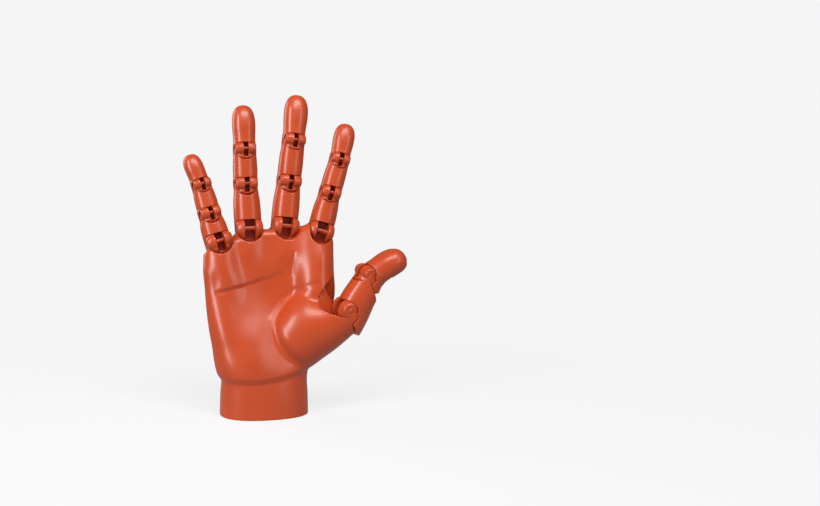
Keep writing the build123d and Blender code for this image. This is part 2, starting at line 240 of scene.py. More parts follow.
@dataclass
class Hinge:
    """Sizes of a hinge, in millimetres, as the tongue and the clevis share them."""
    barrel: float
    cheek_radius: float
    slot: float
    seam: float
    slope: float
    apron: float = 0.0      # how much lower the skirt hangs in the middle of the back
    fullness: float = 0.94  # width of the lobes as a share of the finger's

    def seam_height(self, across: Array, back: Array, half_width: float) -> Array:
        """Height of the seam under the hinge axis, over the finger's side and back.

        Args:
            across: Offsets from the hinge along its axis.
            back: Offsets away from the palm.
            half_width: Half the finger's width at the hinge.

        Returns:
            The seam's height, measured along the finger.
        """
        behind = step_up(back, 2.0, 9.0)
        sides = np.square(across / half_width)
        return (-self.seam - self.slope * (back - self.cheek_radius * 0.5)
                + self.apron * (sides - 0.45) * behind)

    def near_keep(self, across: Array, back: Array, up: Array, half_width: float) -> Array:
        """Room that the piece with the tongue may fill, apart from its lobes.

        Args:
            across: Offsets from the hinge along its axis.
            back: Offsets away from the palm.
            up: Offsets along the finger, outwards.
            half_width: Half the finger's width at the hinge.

        Returns:
            Field of the room.
        """
        half = half_width - GAP
        below = up - self.seam_height(across, back, half_width) + GAP
        neck = np.maximum(np.maximum(np.abs(across) - half, up), back - self.barrel)
        keep = np.minimum(below, neck)
        lip = np.maximum(np.hypot(across, up) - half_width, back + 0.6)
        slot = np.maximum(np.abs(across) - self.slot, -up - self.barrel - 1.0)
        slot = np.maximum(slot, back - SLOT_FLOOR)
        bulb = np.sqrt(np.square(across / half_width) + np.square(back / self.barrel)
                       + np.square(up / (half_width - 0.45))) - 1.0
        bulb = np.maximum(np.maximum(bulb * self.barrel, up), np.abs(across) - half)
        keep = np.minimum(soft_max(keep, -lip, EDGE), bulb)
        return soft_max(keep, -slot, SLOT_EDGE)

    def ball(self, across: Array, back: Array, up: Array, half_width: float) -> Array:
        """The rounded barrel of the joint, as wide as the finger.

        Args:
            across: Offsets from the hinge along its axis.
            back: Offsets away from the palm.
            up: Offsets along the finger, outwards.
            half_width: Half the finger's width at the hinge.

        Returns:
            Field of the barrel.
        """
        fall = np.clip(1.0 - np.square(across / (half_width * 1.12)), 0.02, 1.0)
        return np.hypot(back, up) - self.barrel * np.power(fall, 0.36)

    def lobes(self, across: Array, back: Array, up: Array, half_width: float) -> Array:
        """The two round lobes of the tongue, with softened rims and the slot between.

        Args:
            across: Offsets from the hinge along its axis.
            back: Offsets away from the palm.
            up: Offsets along the finger, outwards.
            half_width: Half the finger's width at the hinge.

        Returns:
            Field of the lobes.
        """
        half = half_width * self.fullness - GAP
        out = self.ball(across, back, up, half_width)
        middle = (half + self.slot) / 2
        side = np.abs(np.abs(across) - middle) - (half - middle)
        core = np.maximum(np.maximum(np.abs(across) - middle, SLOT_FLOOR - back), out)
        return np.minimum(soft_max(out, side, 0.5), core)

    def far_keep(self, across: Array, back: Array, up: Array, half_width: float) -> Array:
        """Room that the clevis may fill.

        Args:
            across: Offsets from the hinge along its axis.
            back: Offsets away from the palm.
            up: Offsets along the finger, outwards.
            half_width: Half the finger's width at the hinge.

        Returns:
            Field of the room.
        """
        above = self.seam_height(across, back, half_width) - up
        pocket = np.minimum(np.maximum(up, back - self.barrel - GAP),
                            self.ball(across, back, up, half_width) - GAP)
        return soft_max(above, -pocket, EDGE)


@dataclass
class Station:
    """Cross-section of a phalanx at a share of its length."""
    share: float
    half_width: float
    half_depth: float
    back: float
    square: float = 2.15    # superellipse exponent


@dataclass
class Phalanx:
    """One phalanx: where it is, its sections, and what its skin shows."""
    name: str
    axes: Axes
    length: float
    stations: list[Station]
    nail: tuple[float, float, float] | None = None      # half width, start and end as shares

    def skin(self, x: Array, y: Array, z: Array) -> Array:
        """Field of the phalanx's skin before any joint is cut.

        Args:
            x: Positions across the hand.
            y: Positions towards the back.
            z: Heights.

        Returns:
            The field.
        """
        across, back, along = self.axes.local(x, y, z)
        share = along / self.length
        at = [s.share for s in self.stations]
        half_width, half_depth, middle, square = (
            smooth_interp(share, at, [getattr(s, n) for s in self.stations])
            for n in ("half_width", "half_depth", "back", "square"))
        if self.nail is not None:
            run = np.clip((share - 0.48) / 0.525, 0.0, 0.999)
            shrink = np.power(1.0 - np.power(run, 3.3), 1 / 2.3)
            half_width, half_depth = half_width * shrink, half_depth * shrink
        off = back - middle
        radius = np.power(np.power(np.abs(across / half_width), square)
                          + np.power(np.abs(off / half_depth), square), 1.0 / square)
        body = (radius - 1.0) * np.minimum(half_width, half_depth)
        low = (self.stations[0].share - share) * self.length
        high = (share - self.stations[-1].share) * self.length
        body = soft_max(soft_max(body, low, 2.0), high, 1.0)
        return body - self.relief(across, off, along, half_depth)

    def relief(self, across: Array, off: Array, along: Array, half_depth: Array) -> Array:
        """Height of the fine forms over the skin: the nail and its folds.

        Args:
            across: Offsets from the middle of the phalanx.
            off: Offsets towards the back.
            along: Offsets towards the tip.
            half_depth: Half the phalanx's depth there.

        Returns:
            The height.
        """
        if self.nail is None:
            return np.zeros_like(across)
        nail_half, start, end = self.nail
        low, high = start * self.length, end * self.length
        rear = step_up(off / half_depth, 0.15, 0.5)
        out_side = np.abs(across) / nail_half
        out_end = (low - along) / (0.35 * (high - low)) + 1.0
        edge = np.power(np.power(out_side, 3.2) + np.power(np.maximum(out_end, 0.0), 3.2), 1 / 3.2) - 1.0
        edge = edge * nail_half
        bed = step_up(-edge, 0.0, 0.45)
        fold = bump(edge - 0.45, 0.65) * step_up(high - along, -1.5, 1.0)
        return rear * (0.42 * fold - 0.5 * bed)


@dataclass
class Digit:
    """A finger or the thumb: its phalanges from the palm outwards and their hinges."""
    name: str
    names: list[str]
    joints: list[str]
    sections: list[tuple[float, float, float]]
    hinges: list[Hinge]
    tip: tuple[float, float, float]     # direction of the last phalanx
    tip_length: float
    fold: float = 1.0                   # how strong the wrinkles over the joints are
    first_direction: tuple[float, float, float] | None = None
    open_sides: tuple[float, float] = (0.0, 0.0)    # how far past its sides a knuckle's pocket reaches
    phalanges: list[Phalanx] = field(default_factory=list)
    frames: list[Axes] = field(default_factory=list)

    def place(self, joints: dict[str, dict]) -> None:
        """Reads the hinge axes from the frame and sets every phalanx between them.

        Args:
            joints: The frame's joints by name.
        """
        spots = [np.array(joints[f"{self.name}_{j}"]["pos_m"]) / MM for j in self.joints]
        turns = [unit(np.array(joints[f"{self.name}_{j}"]["axis"])) for j in self.joints]
        spots.append(spots[-1] + unit(np.array(self.tip)) * self.tip_length)
        runs = [unit(b - a) for a, b in zip(spots, spots[1:])]
        count = len(self.names)
        for index, run in enumerate(runs):
            before = runs[index - 1] if index else unit(np.array(self.first_direction or tuple(run)))
            self.frames.append(Axes.at(spots[index], turns[index], run + before))
            across = unit(turns[index] - run * np.dot(run, turns[index]))
            axes = Axes(spots[index], across, np.cross(run, across), run)
            near, far = self.sections[index], self.sections[index + 1]
            length = float(np.linalg.norm(spots[index + 1] - spots[index]))
            last = index == count - 1
            stations = (self.tip_stations(near, far, length) if last
                        else self.shaft_stations(near, far, length, index == 0))
            nail = (far[0] * 0.66, 0.50, 0.93) if last else None
            self.phalanges.append(Phalanx(self.names[index], axes, length, stations, nail))

    def shaft_stations(self, near: tuple, far: tuple, length: float, first: bool) -> list[Station]:
        """Sections of a phalanx between two joints: full at the joints, slim between.

        Args:
            near: Half width, half depth and middle at the near joint.
            far: The same at the far joint.
            length: Distance between the joints.
            first: Whether this phalanx carries the knuckle's skirt.

        Returns:
            The sections in order.
        """
        slim = [(a + b) / 2 for a, b in zip(near, far)]
        return [Station(-self.overlap(first) / length, *near),
                Station(0.0, *near),
                Station(0.30, (near[0] + slim[0]) / 2 * 1.05, (near[1] + slim[1]) / 2 * 1.0, slim[2]),
                Station(0.60, slim[0] * 1.05, slim[1] * 0.985, slim[2]),
                Station(0.85, far[0] * 1.03, far[1] * 0.995, far[2]),
                Station(1.0, far[0], far[1], far[2]),
                Station(1.0 + self.overlap(False) / length, far[0], far[1], far[2])]

    @staticmethod
    def overlap(first: bool) -> float:
        """How far a phalanx's skin runs past its joint: long at the knuckle, for the skirt."""
        return SKIRT_RUN if first else JOINT_RUN

    def tip_stations(self, near: tuple, far: tuple, length: float) -> list[Station]:
        """Sections of a fingertip: joint, waist, pad, then the rounded end.

        Args:
            near: Half width, half depth and middle at the joint.
            far: The same at the pad.
            length: Length of the tip.

        Returns:
            The sections in order.
        """
        waist = [(a + b) / 2 for a, b in zip(near, far)]
        stations = [Station(-self.overlap(False) / length, *near), Station(0.0, *near),
                    Station(0.22, waist[0] * 0.97, waist[1] * 0.97, waist[2])]
        stations.append(Station(0.48, far[0], far[1], far[2] - 0.2, 2.2))
        stations.append(Station(1.0, far[0], far[1], far[2] + 0.5))
        return stations

    def skin(self, x: Array, y: Array, z: Array) -> Array:
        """Field of the whole digit's skin.

        Args:
            x: Positions across the hand.
            y: Positions towards the back.
            z: Heights.

        Returns:
            The field.
        """
        total = None
        for phalanx in self.phalanges:
            part = phalanx.skin(x, y, z)
            total = part if total is None else soft_min(total, part, PHALANX_FILLET)
        return total - self.wrinkles(x, y, z)

    def keep(self, index: int, side: "Joint", x: Array, y: Array, z: Array) -> Array:
        """Room that a hinge leaves to the piece on one side of it.

        Args:
            index: Which hinge, counted from the palm.
            side: The piece's side of the hinge.
            x: Positions across the hand.
            y: Positions towards the back.
            z: Heights.

        Returns:
            Field of the room.
        """
        across, back, up = self.frames[index].local(x, y, z)
        hinge, half_width = self.hinges[index], self.sections[index][0]
        if side is Joint.NEAR:
            return hinge.near_keep(across, back, up, half_width)
        return hinge.far_keep(across, back, up, half_width)

    def lobes(self, index: int, x: Array, y: Array, z: Array) -> Array:
        """Field of the lobes at a hinge.

        Args:
            index: Which hinge, counted from the palm.
            x: Positions across the hand.
            y: Positions towards the back.
            z: Heights.

        Returns:
            The field.
        """
        across, back, up = self.frames[index].local(x, y, z)
        return self.hinges[index].lobes(across, back, up, self.sections[index][0])

    def wrinkles(self, x: Array, y: Array, z: Array) -> Array:
        """Height of the knuckle folds over the back of each finger joint.

        Args:
            x: Positions across the hand.
            y: Positions towards the back.
            z: Heights.

        Returns:
            The height.
        """
        total = np.zeros_like(x)
        for index in range(1, len(self.frames)):
            across, back, up = self.frames[index].local(x, y, z)
            half_width, half_depth, middle = self.sections[index]
            rear = step_up(back, middle, middle + half_depth * 0.7)
            near = rear * step_up(half_width - np.abs(across), 0.0, half_width * 0.6)
            arc = np.square(across) * 0.035
            knob = 0.55 * bump(np.hypot(across * 0.8, up - 0.5), 5.0)
            folds = sum(0.26 * bump(up - height - arc * side, 0.42)
                        for height, side in ((-2.1, -1), (0.2, 0), (2.4, 1), (3.9, 1)))
            total = total + near * self.fold * (knob - folds)
        return total


@dataclass
class PalmLevel:
    """Level section of the palm and wrist."""
    z: float
    ulnar: float
    radial: float
    middle: float
    half_depth: float
    arch: float


@dataclass
class Palm:
    """Palm, wrist and thumb base: sizes in millimetres, and the fields that sculpt them."""
    digits: list[Digit]
    levels: list[PalmLevel] = field(default_factory=lambda: [
        PalmLevel(0.0, -29.3, 29.3, 0.0, 20.5, 0.0),
        PalmLevel(14.0, -28.9, 29.0, 0.0, 20.2, 0.0),
        PalmLevel(24.0, -28.4, 28.6, 0.0, 19.4, 0.0),
        PalmLevel(34.0, -30.3, 30.5, 0.4, 18.8, 0.0004),
        PalmLevel(50.0, -34.2, 35.5, 1.6, 17.0, 0.0014),
        PalmLevel(70.0, -37.4, 39.6, 3.6, 14.2, 0.0028),
        PalmLevel(90.0, -38.9, 40.2, 5.4, 12.2, 0.0040),
        PalmLevel(106.0, -38.1, 41.6, 6.5, 11.2, 0.0044),
        PalmLevel(125.0, -35.6, 43.8, 6.8, 10.2, 0.0044)])
    arch_centre: float = -5.0
    roundness: float = 2.35
    web_line: list[tuple[float, float]] = field(default_factory=lambda: [
        (-46.0, 104.0), (-34.0, 111.0), (-21.0, 115.5), (1.5, 121.0), (25.0, 120.5), (50.0, 114.0)])

    def slab(self, x: Array, y: Array, z: Array) -> Array:
        """Field of the wrist and the palm's main bulk.

        Args:
            x: Positions across the hand.
            y: Positions towards the back.
            z: Heights.

        Returns:
            The field.
        """
        heights = [level.z for level in self.levels]
        ulnar, radial, middle, depth, arch = (
            smooth_interp(z, heights, [getattr(level, n) for level in self.levels])
            for n in ("ulnar", "radial", "middle", "half_depth", "arch"))
        centre = middle - arch * np.square(x - self.arch_centre)
        half_width = (radial - ulnar) / 2
        a = np.abs((x - (radial + ulnar) / 2) / half_width)
        b = np.abs((y - centre) / depth)
        radius = np.power(np.power(a, self.roundness) + np.power(b, self.roundness), 1 / self.roundness)
        body = (radius - 1.0) * depth
        crown = z - np.interp(x, [p[0] for p in self.web_line], [p[1] for p in self.web_line])
        return soft_max(body, crown, 5.0)

    def masses(self, x: Array, y: Array, z: Array) -> Array:
        """The slab with the finger rays and the edge of the hand.

        Args:
            x: Positions across the hand.
            y: Positions towards the back.
            z: Heights.

        Returns:
            The field.
        """
        body = self.slab(x, y, z)
        for digit in self.digits[:4]:
            frame, section = digit.frames[0], digit.sections[0]
            across, back, up = frame.local(x, y, z)
            slim = 1.0 - 0.4 * np.clip((-up - 10.0) / 40.0, 0.0, 1.0)
            ray = np.hypot(across / (section[0] * slim), (back - section[2]) / (section[1] * slim + 0.2))
            ray = (ray - 1.0) * section[0] * slim
            ray = soft_max(ray, np.abs(up + 20.0) - 27.0, 14.0)
            body = soft_min(body, ray, 5.0)
        return body

    def thumb_base(self, x: Array, y: Array, z: Array) -> Array:
        """Field of the thumb's muscle, from the heel of the hand to its knuckle.

        Args:
            x: Positions across the hand.
            y: Positions towards the back.
            z: Heights.

        Returns:
            The field.
        """
        thumb = self.digits[4]
        frame, section = thumb.frames[0], thumb.sections[0]
        end = frame.origin + frame.back * section[2]
        spots = [np.array([19.5, -7.0, 46.0]), np.array([33.5, -14.5, 55.5]), end]
        sizes = [(18.5, 16.0), (16.5, 14.6), (section[1], section[0])]
        run = unit(spots[-1] - spots[0])
        axes = Axes.at(spots[0], frame.across, run)
        at = [float(np.dot(s - spots[0], axes.along)) for s in spots]
        across, back, along = axes.local(x, y, z)
        shift_back, shift_across, tall, deep = (
            smooth_interp(along, at, heights) for heights in (
                [float(np.dot(s - spots[0], axes.back)) for s in spots],
                [float(np.dot(s - spots[0], axes.across)) for s in spots],
                [s[0] for s in sizes], [s[1] for s in sizes]))
        radius = np.hypot((across - shift_across) / deep, (back - shift_back) / tall)
        body = (radius - 1.0) * np.minimum(deep, tall)
        body = soft_max(body, -along - 4.0, 6.0)
        body = soft_max(body, along - at[-1] - 5.0, 3.0)
        mound_axes = Axes.at(np.array([21.0, -8.0, 55.0]), np.array([0.90, -0.12, -0.42]),
                             np.array([0.42, -0.1, 0.90]))
        side, out, up = mound_axes.local(x, y, z)
        mound = (np.sqrt(np.square(side / 17.0) + np.square(out / 16.0) + np.square(up / 26.5)) - 1.0) * 16.0
        return soft_min(body, mound, 7.0)

    def skin(self, x: Array, y: Array, z: Array) -> Array:
        """Field of the palm's whole skin before the joints are cut.

        Args:
            x: Positions across the hand.
            y: Positions towards the back.
            z: Heights.

        Returns:
            The field.
        """
        body = self.masses(x, y, z)
        web_points = [((31.0, -4.5, 96.0), (9.0, 9.5, 24.0)), ((33.0, -9.5, 79.0), (9.5, 9.5, 17.0))]
        for middle, radii in web_points:
            body = soft_min(body, ellipsoid(x, y, z, middle, radii), 10.0)
        body = body - self.relief(x, y, z)
        return soft_min(body, self.thumb_base(x, y, z), 2.2)

    def relief(self, x: Array, y: Array, z: Array) -> Array:
        """Height of the tendons, knuckles and creases over the palm's skin.

        Args:
            x: Positions across the hand.
            y: Positions towards the back.
            z: Heights.

        Returns:
            The height.
        """
        centre = np.interp(z, [l.z for l in self.levels], [l.middle for l in self.levels])
        rear = step_up(y - centre, 1.0, 8.0)
        front = step_up(centre - y, -1.0, 5.0)
        height = np.zeros_like(x)
        for digit, root, rise in zip(self.digits[:4], (7.0, 1.5, -3.5, -9.0), (1.25, 1.35, 1.1, 0.75)):
            knuckle = digit.frames[0].origin
            line = [(root, 26.0), (root + (knuckle[0] - root) * 0.4, 66.0),
                    (knuckle[0] + 0.6, knuckle[2] - 16.0)]
            distance, along = path_distance(x, z, line)
            tendon = bump(distance, 2.1 + 0.8 * (1 - along)) * step_up(along, 0.0, 0.35)
            height = height + rear * rise * tendon
            knob = np.hypot((x - knuckle[0]) / 8.0, (z - knuckle[2] + 13.0) / 9.0)
            height = height + rear * 1.3 * bump(knob, 0.85)
        for first, second in zip(self.digits[:3], self.digits[1:4]):
            a, b = first.frames[0].origin, second.frames[0].origin
            dip = np.hypot((x - (a[0] + b[0]) / 2) / 4.2, (z - (a[2] + b[2]) / 2 + 20.0) / 16.0)
            height = height - rear * 1.5 * bump(dip, 1.0)
        for digit, rise in zip(self.digits[:4], (1.5, 1.5, 1.2, 1.4)):
            knuckle = digit.frames[0].origin
            pad = np.hypot((x - knuckle[0] + 0.5) / 8.5, (z - knuckle[2] + 17.0) / 9.0)
            height = height + front * rise * bump(pad, 1.0)
        hollow = np.hypot((x - 1.0) / 17.0, (z - 76.0) / 17.0)
        heel = np.hypot((x + 14.0) / 15.0, (z - 42.0) / 20.0)
        edge = np.hypot((x + 29.0) / 8.0, (z - 62.0) / 26.0)
        height = height + front * (3.2 * bump(heel, 1.0) - 2.6 * bump(hollow, 1.0) + 1.8 * bump(edge, 1.0))
        fold = z - (23.5 + 0.0042 * np.square(x + 14.0))
        height = height + front * 1.6 * step_up(fold, -1.8, 3.6) * (1.0 - step_up(fold, 5.0, 24.0))
        ledge = z - (82.0 + 0.15 * (x + 30.0) + 0.0035 * np.square(x + 30.0))
        reach = step_up(x, -34.0, -28.0) * (1.0 - step_up(x, 4.0, 16.0))
        height = height + front * 0.9 * reach * step_up(ledge, -2.0, 2.0) * (1.0 - step_up(ledge, 4.0, 18.0))
        creases = [([(-32.0, 80.5), (-18.0, 83.5), (-2.0, 88.5)], 0.25, 1.4),
                   ([(18.0, 106.0), (16.5, 92.0)], 0.30, 1.2),
                   ([(30.0, 86.0), (19.0, 82.0), (9.0, 76.0), (1.0, 66.0)], 0.35, 2.0)]
        for line, depth, width in creases:
            distance, _ = path_distance(x, z, line)
            height = height - front * depth * bump(distance, width)
        return height


class Piece:
    """A visible piece: a field meshed over the box of the frame's nodes."""

    def __init__(self, name: str, shape: Field, low: Array, high: Array, pitch: float) -> None:
        """Meshes a field.

        Args:
            name: The piece's name.
            shape: Field of the piece, in millimetres.
            low: Lowest corner of the box searched, in millimetres.
            high: Highest corner.
            pitch: Distance between samples.
        """
        counts = np.ceil((high - low) / pitch).astype(int) + 1
        lines = [(low[i] + pitch * np.arange(counts[i])).astype(np.float32) for i in range(3)]
        x, y, z = np.meshgrid(*lines, indexing="ij")
        values = np.clip(shape(x, y, z), -3 * pitch, 3 * pitch).astype(np.float32)
        grid = openvdb.FloatGrid(3 * pitch)
        grid.copyFromArray(values)
        grid.transform = openvdb.createLinearTransform(voxelSize=pitch)
        points, triangles, quads = grid.convertToPolygons(isovalue=0.0, adaptivity=0.0)
        points = points.astype(np.float64) + low
        points = self.settle(points, shape, pitch)
        faces = [tuple(int(i) for i in f) for f in quads] + [tuple(int(i) for i in f) for f in triangles]
        mesh = bpy.data.meshes.new(name)
        mesh.from_pydata((points * MM).tolist(), [], faces)
        mesh.update()
        self.object = bpy.data.objects.new(name, mesh)
        bpy.context.scene.collection.objects.link(self.object)
        self.face_outwards(mesh)
        mesh.shade_smooth()
        slope, _ = self.slope(points, shape)
        lengths = np.linalg.norm(slope, axis=1, keepdims=True)
        mesh.normals_split_custom_set_from_vertices((slope / np.maximum(lengths, 1e-6)).tolist())
        LOG.info("%s: %d faces", name, len(faces))

    @staticmethod
    def slope(points: Array, shape: Field, step: float = 0.06) -> tuple[Array, Array]:
        """Slope of a field at points, and the field's own height there.

        Args:
            points: Where the slope is wanted.
            shape: The field.
            step: Distance between the two readings.

        Returns:
            The slope at each point, and the field's height.
        """
        x, y, z = points.T
        here = shape(x, y, z)
        steps = [shape(x + step, y, z), shape(x, y + step, z), shape(x, y, z + step)]
        return np.stack([moved - here for moved in steps], axis=1) / step, here

    @classmethod
    def settle(cls, points: Array, shape: Field, pitch: float) -> Array:
        """Moves mesh points on to the field's true zero surface.

        Args:
            points: The mesh's points.
            shape: The field.
            pitch: Distance between the samples it was meshed from.

        Returns:
            The moved points.
        """
        for _ in range(2):
            slope, here = cls.slope(points, shape)
            size = np.maximum(np.sum(slope * slope, axis=1), 0.15)
            move = slope * (here / size)[:, None]
            length = np.linalg.norm(move, axis=1, keepdims=True)
            points = points - move * np.minimum(1.0, 0.5 * pitch / np.maximum(length, 1e-9))
        return points

    @staticmethod
    def face_outwards(mesh: bpy.types.Mesh) -> None:
        """Turns the faces so that the mesh's volume is positive.

        Args:
            mesh: The mesh to turn.
        """
        count = len(mesh.polygons)
        centres, normals, areas = (np.empty(count * 3), np.empty(count * 3), np.empty(count))
        mesh.polygons.foreach_get("center", centres)
        mesh.polygons.foreach_get("normal", normals)
        mesh.polygons.foreach_get("area", areas)
        volume = np.sum(np.sum(centres.reshape(-1, 3) * normals.reshape(-1, 3), axis=1) * areas)
        if volume < 0:
            mesh.flip_normals()


class Joint(Enum):
    """Which side of a hinge a piece keeps."""
    NEAR = "tongue"
    FAR = "clevis"


@dataclass
class DigitSkins:
    """The visible phalanges of one digit, cut from its skin by its hinges."""
    digit: Digit
    pitch: float

    def phalanx_field(self, index: int) -> Field:
        """Field of one phalanx with its clevis, and its tongue where another follows.

        Args:
            index: Which phalanx, counted from the palm.

        Returns:
            The field.
        """
        digit = self.digit
        last = index == len(digit.names) - 1

        def shape(x: Array, y: Array, z: Array) -> Array:
            """Skin kept beyond the near hinge and short of the far one.

            Args:
                x: Positions across the hand.
                y: Positions towards the back.
                z: Heights.

            Returns:
                The field.
            """
            body = digit.skin(x, y, z)
            body = soft_max(body, digit.keep(index, Joint.FAR, x, y, z), EDGE)
            if last:
                return body
            body = soft_max(body, digit.keep(index + 1, Joint.NEAR, x, y, z), EDGE)
            return np.minimum(body, digit.lobes(index + 1, x, y, z))

        return shape

    def build(self, finish: bpy.types.Material) -> None:
        """Meshes, dresses and attaches every phalanx of the digit.

        Args:
            finish: The plastic.
        """
        for index, name in enumerate(self.digit.names):
            node = f"{self.digit.name}_{name}"
            low, high = box_mm(node, 2.0)
            piece = Piece(f"{node}_skin", self.phalanx_field(index), low, high, self.pitch)
            attach(piece.object, node, node, finish)


@dataclass
class PalmSkin:
    """The visible palm, wrist and thumb base, with the pockets that the digits sit in."""
    palm: Palm
    pitch: float
    plate_depth: float = 6.05
    plate_wall: float = 3.55

    def pockets(self, body: Array, x: Array, y: Array, z: Array) -> Array:
        """Cuts each digit's pocket and adds its lobes.

        Args:
            body: The palm's field so far.
            x: Positions across the hand.
            y: Positions towards the back.
            z: Heights.

        Returns:
            The palm's field with its joints.
        """
        for digit in self.palm.digits:
            frame = digit.frames[0]
            across, back, up = frame.local(x, y, z)
            width = digit.sections[0][0] + GAP
            left, right = (width + reach for reach in digit.open_sides)
            side = np.maximum(across - right, -across - left)
            near = np.maximum(side, np.hypot(back - POCKET_BACK, up) - POCKET_RADIUS)
            cut = np.maximum(near, -digit.keep(0, Joint.NEAR, x, y, z))
            body = soft_max(body, -cut, SLOT_EDGE)
        for digit in self.palm.digits:
            body = np.minimum(body, digit.lobes(0, x, y, z))
        return body

    def field(self, x: Array, y: Array, z: Array) -> Array:
        """Field of the visible palm.

        Args:
            x: Positions across the hand.
            y: Positions towards the back.
            z: Heights.

        Returns:
            The field.
        """
        body = soft_max(self.palm.skin(x, y, z), -z, 0.5)
        body = self.pockets(body, x, y, z)
        level = self.palm.levels[0]
        inner = np.power(np.power(np.abs(x) / (level.radial - self.plate_wall), 2.3)
                         + np.power(np.abs(y) / (level.half_depth - self.plate_wall), 2.3), 1 / 2.3)
        pocket = np.maximum((inner - 1.0) * (level.half_depth - self.plate_wall), z - self.plate_depth)
        return np.maximum(body, -pocket)

    def build(self, finish: bpy.types.Material) -> None:
        """Meshes, dresses and attaches the palm.

        Args:
            finish: The plastic.
        """
        low, high = box_mm("palm_shell", 2.5)
        piece = Piece("palm_skin", self.field, low, high, self.pitch)
        attach(piece.object, "palm", "palm_shell", finish)


def box_mm(node: str, margin: float) -> tuple[Array, Array]:
    """Corners of a node's box in millimetres, grown by a margin.

    Args:
        node: The node's name.
        margin: How far each side moves out.

    Returns:
        The lowest and highest corner.
    """
    low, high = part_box(node)
    return np.array(low) / MM - margin, np.array(high) / MM + margin


def attach(piece: bpy.types.Object, body: str, node: str, finish: bpy.types.Material) -> None:
    """Dresses a printed piece, rides it on a body and lets it stand for its node.

    Args:
        piece: The piece.
        body: The body it rides on.
        node: The node it replaces.
        finish: Its plastic.
    """
    piece.data.materials.append(finish)
    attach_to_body(piece, body)
    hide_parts(node)


# --- finishes -------------------------------------------------------------------------------
class Value:
    """A shader socket that can be used in arithmetic; each operation adds a Math node."""

    def __init__(self, nodes: "Nodes", socket: bpy.types.NodeSocket) -> None:
        """Keeps the socket and where its node is."""
        self.nodes = nodes
        self.socket = socket

    def _math(self, operation: str, *terms: "Value | float") -> "Value":
        """Adds a Math node on the given terms."""
        links = {index: term for index, term in enumerate(terms)}
        return self.nodes.add("ShaderNodeMath", {"operation": operation}, links)

    def __add__(self, other: "Value | float") -> "Value":
        """Sum."""
        return self._math("ADD", self, other)

    def __sub__(self, other: "Value | float") -> "Value":
        """Difference."""
        return self._math("SUBTRACT", self, other)

    def __rsub__(self, other: float) -> "Value":
        """A number less this value."""
        return self._math("SUBTRACT", other, self)

    def __mul__(self, other: "Value | float") -> "Value":
        """Product."""
        return self._math("MULTIPLY", self, other)

    def __truediv__(self, other: "Value | float") -> "Value":
        """Quotient."""
        return self._math("DIVIDE", self, other)

    __radd__ = __add__
    __rmul__ = __mul__

    def clamped(self) -> "Value":
        """The value held between 0 and 1."""
        return self.nodes.add("ShaderNodeClamp", {}, {"Value": self})


class Nodes:
    """Adds nodes to one material or world, by type, settings and socket values."""

    def __init__(self, owner: bpy.types.Material | bpy.types.World) -> None:
        """Starts an empty tree on the owner."""
        owner.use_nodes = True
        self.tree = owner.node_tree
        self.tree.nodes.clear()

    def add(self, kind: str, settings: dict | None = None, inputs: dict | None = None,
            output: int | str = 0) -> Value:
        """Adds a node.

        Args:
            kind: The node's type.
            settings: Its properties, set first.
            inputs: Values or links by socket name or number.
            output: The socket to return.

        Returns:
            The chosen output.
        """
        node = self.tree.nodes.new(kind)
        for name, value in (settings or {}).items():
            setattr(node, name, value)
        for name, value in (inputs or {}).items():
            if isinstance(value, Value):
                self.tree.links.new(value.socket, node.inputs[name])
            else:
                node.inputs[name].default_value = value
        return Value(self, node.outputs[output]) if len(node.outputs) else Value(self, None)

    def finish(self, surface: Value, kind: str = "ShaderNodeOutputMaterial") -> None:
        """Links a shader to the output."""
        self.add(kind, {}, {"Surface": surface})


@dataclass(frozen=True)
class SatinPlastic:
    """Orange-red printed plastic, sanded and lightly polished."""
    name: str = "satin_orange_plastic"
    colour: tuple[float, float, float] = (0.500, 0.062, 0.014)
    deep: tuple[float, float, float] = (0.440, 0.050, 0.010)
    roughness: float = 0.31
    layer_pitch: float = 0.45 * MM
    bump_height: float = 0.010 * MM

    def make(self) -> bpy.types.Material:
        """Builds the material.

        Returns:
            The material.
        """
        material = bpy.data.materials.new(self.name)
        nodes = Nodes(material)
        place = nodes.add("ShaderNodeTexCoord", output="Object")
        split = nodes.add("ShaderNodeSeparateXYZ", {}, {0: place}, "Z")
        cloud = nodes.add("ShaderNodeTexNoise", {}, {"Vector": place, "Scale": 55.0, "Detail": 3.0})
        grain = nodes.add("ShaderNodeTexNoise", {}, {"Vector": place, "Scale": 1800.0, "Detail": 2.0})
        layers = nodes.add("ShaderNodeMath", {"operation": "SINE"},
                           {0: split * (2 * math.pi / self.layer_pitch) + cloud * 6.0})
        tint = nodes.add("ShaderNodeMix", {"data_type": "RGBA"},
                         {"Factor": (cloud - 0.3).clamped(),
                          "A": (*self.colour, 1.0), "B": (*self.deep, 1.0)},
                         "Result")
        relief = layers * 0.5 + grain * 0.8
        dents = nodes.add("ShaderNodeBump", {}, {"Strength": 0.35, "Distance": self.bump_height,
                                                 "Height": relief})
        rough = cloud * 0.10 + grain * 0.05 + (self.roughness - 0.075)
        shell = nodes.add("ShaderNodeBsdfPrincipled", {}, {
            "Base Color": tint, "Roughness": rough, "Normal": dents, "IOR": 1.49,
            "Coat Weight": 0.12, "Coat Roughness": 0.22})
        nodes.finish(shell)
        return material


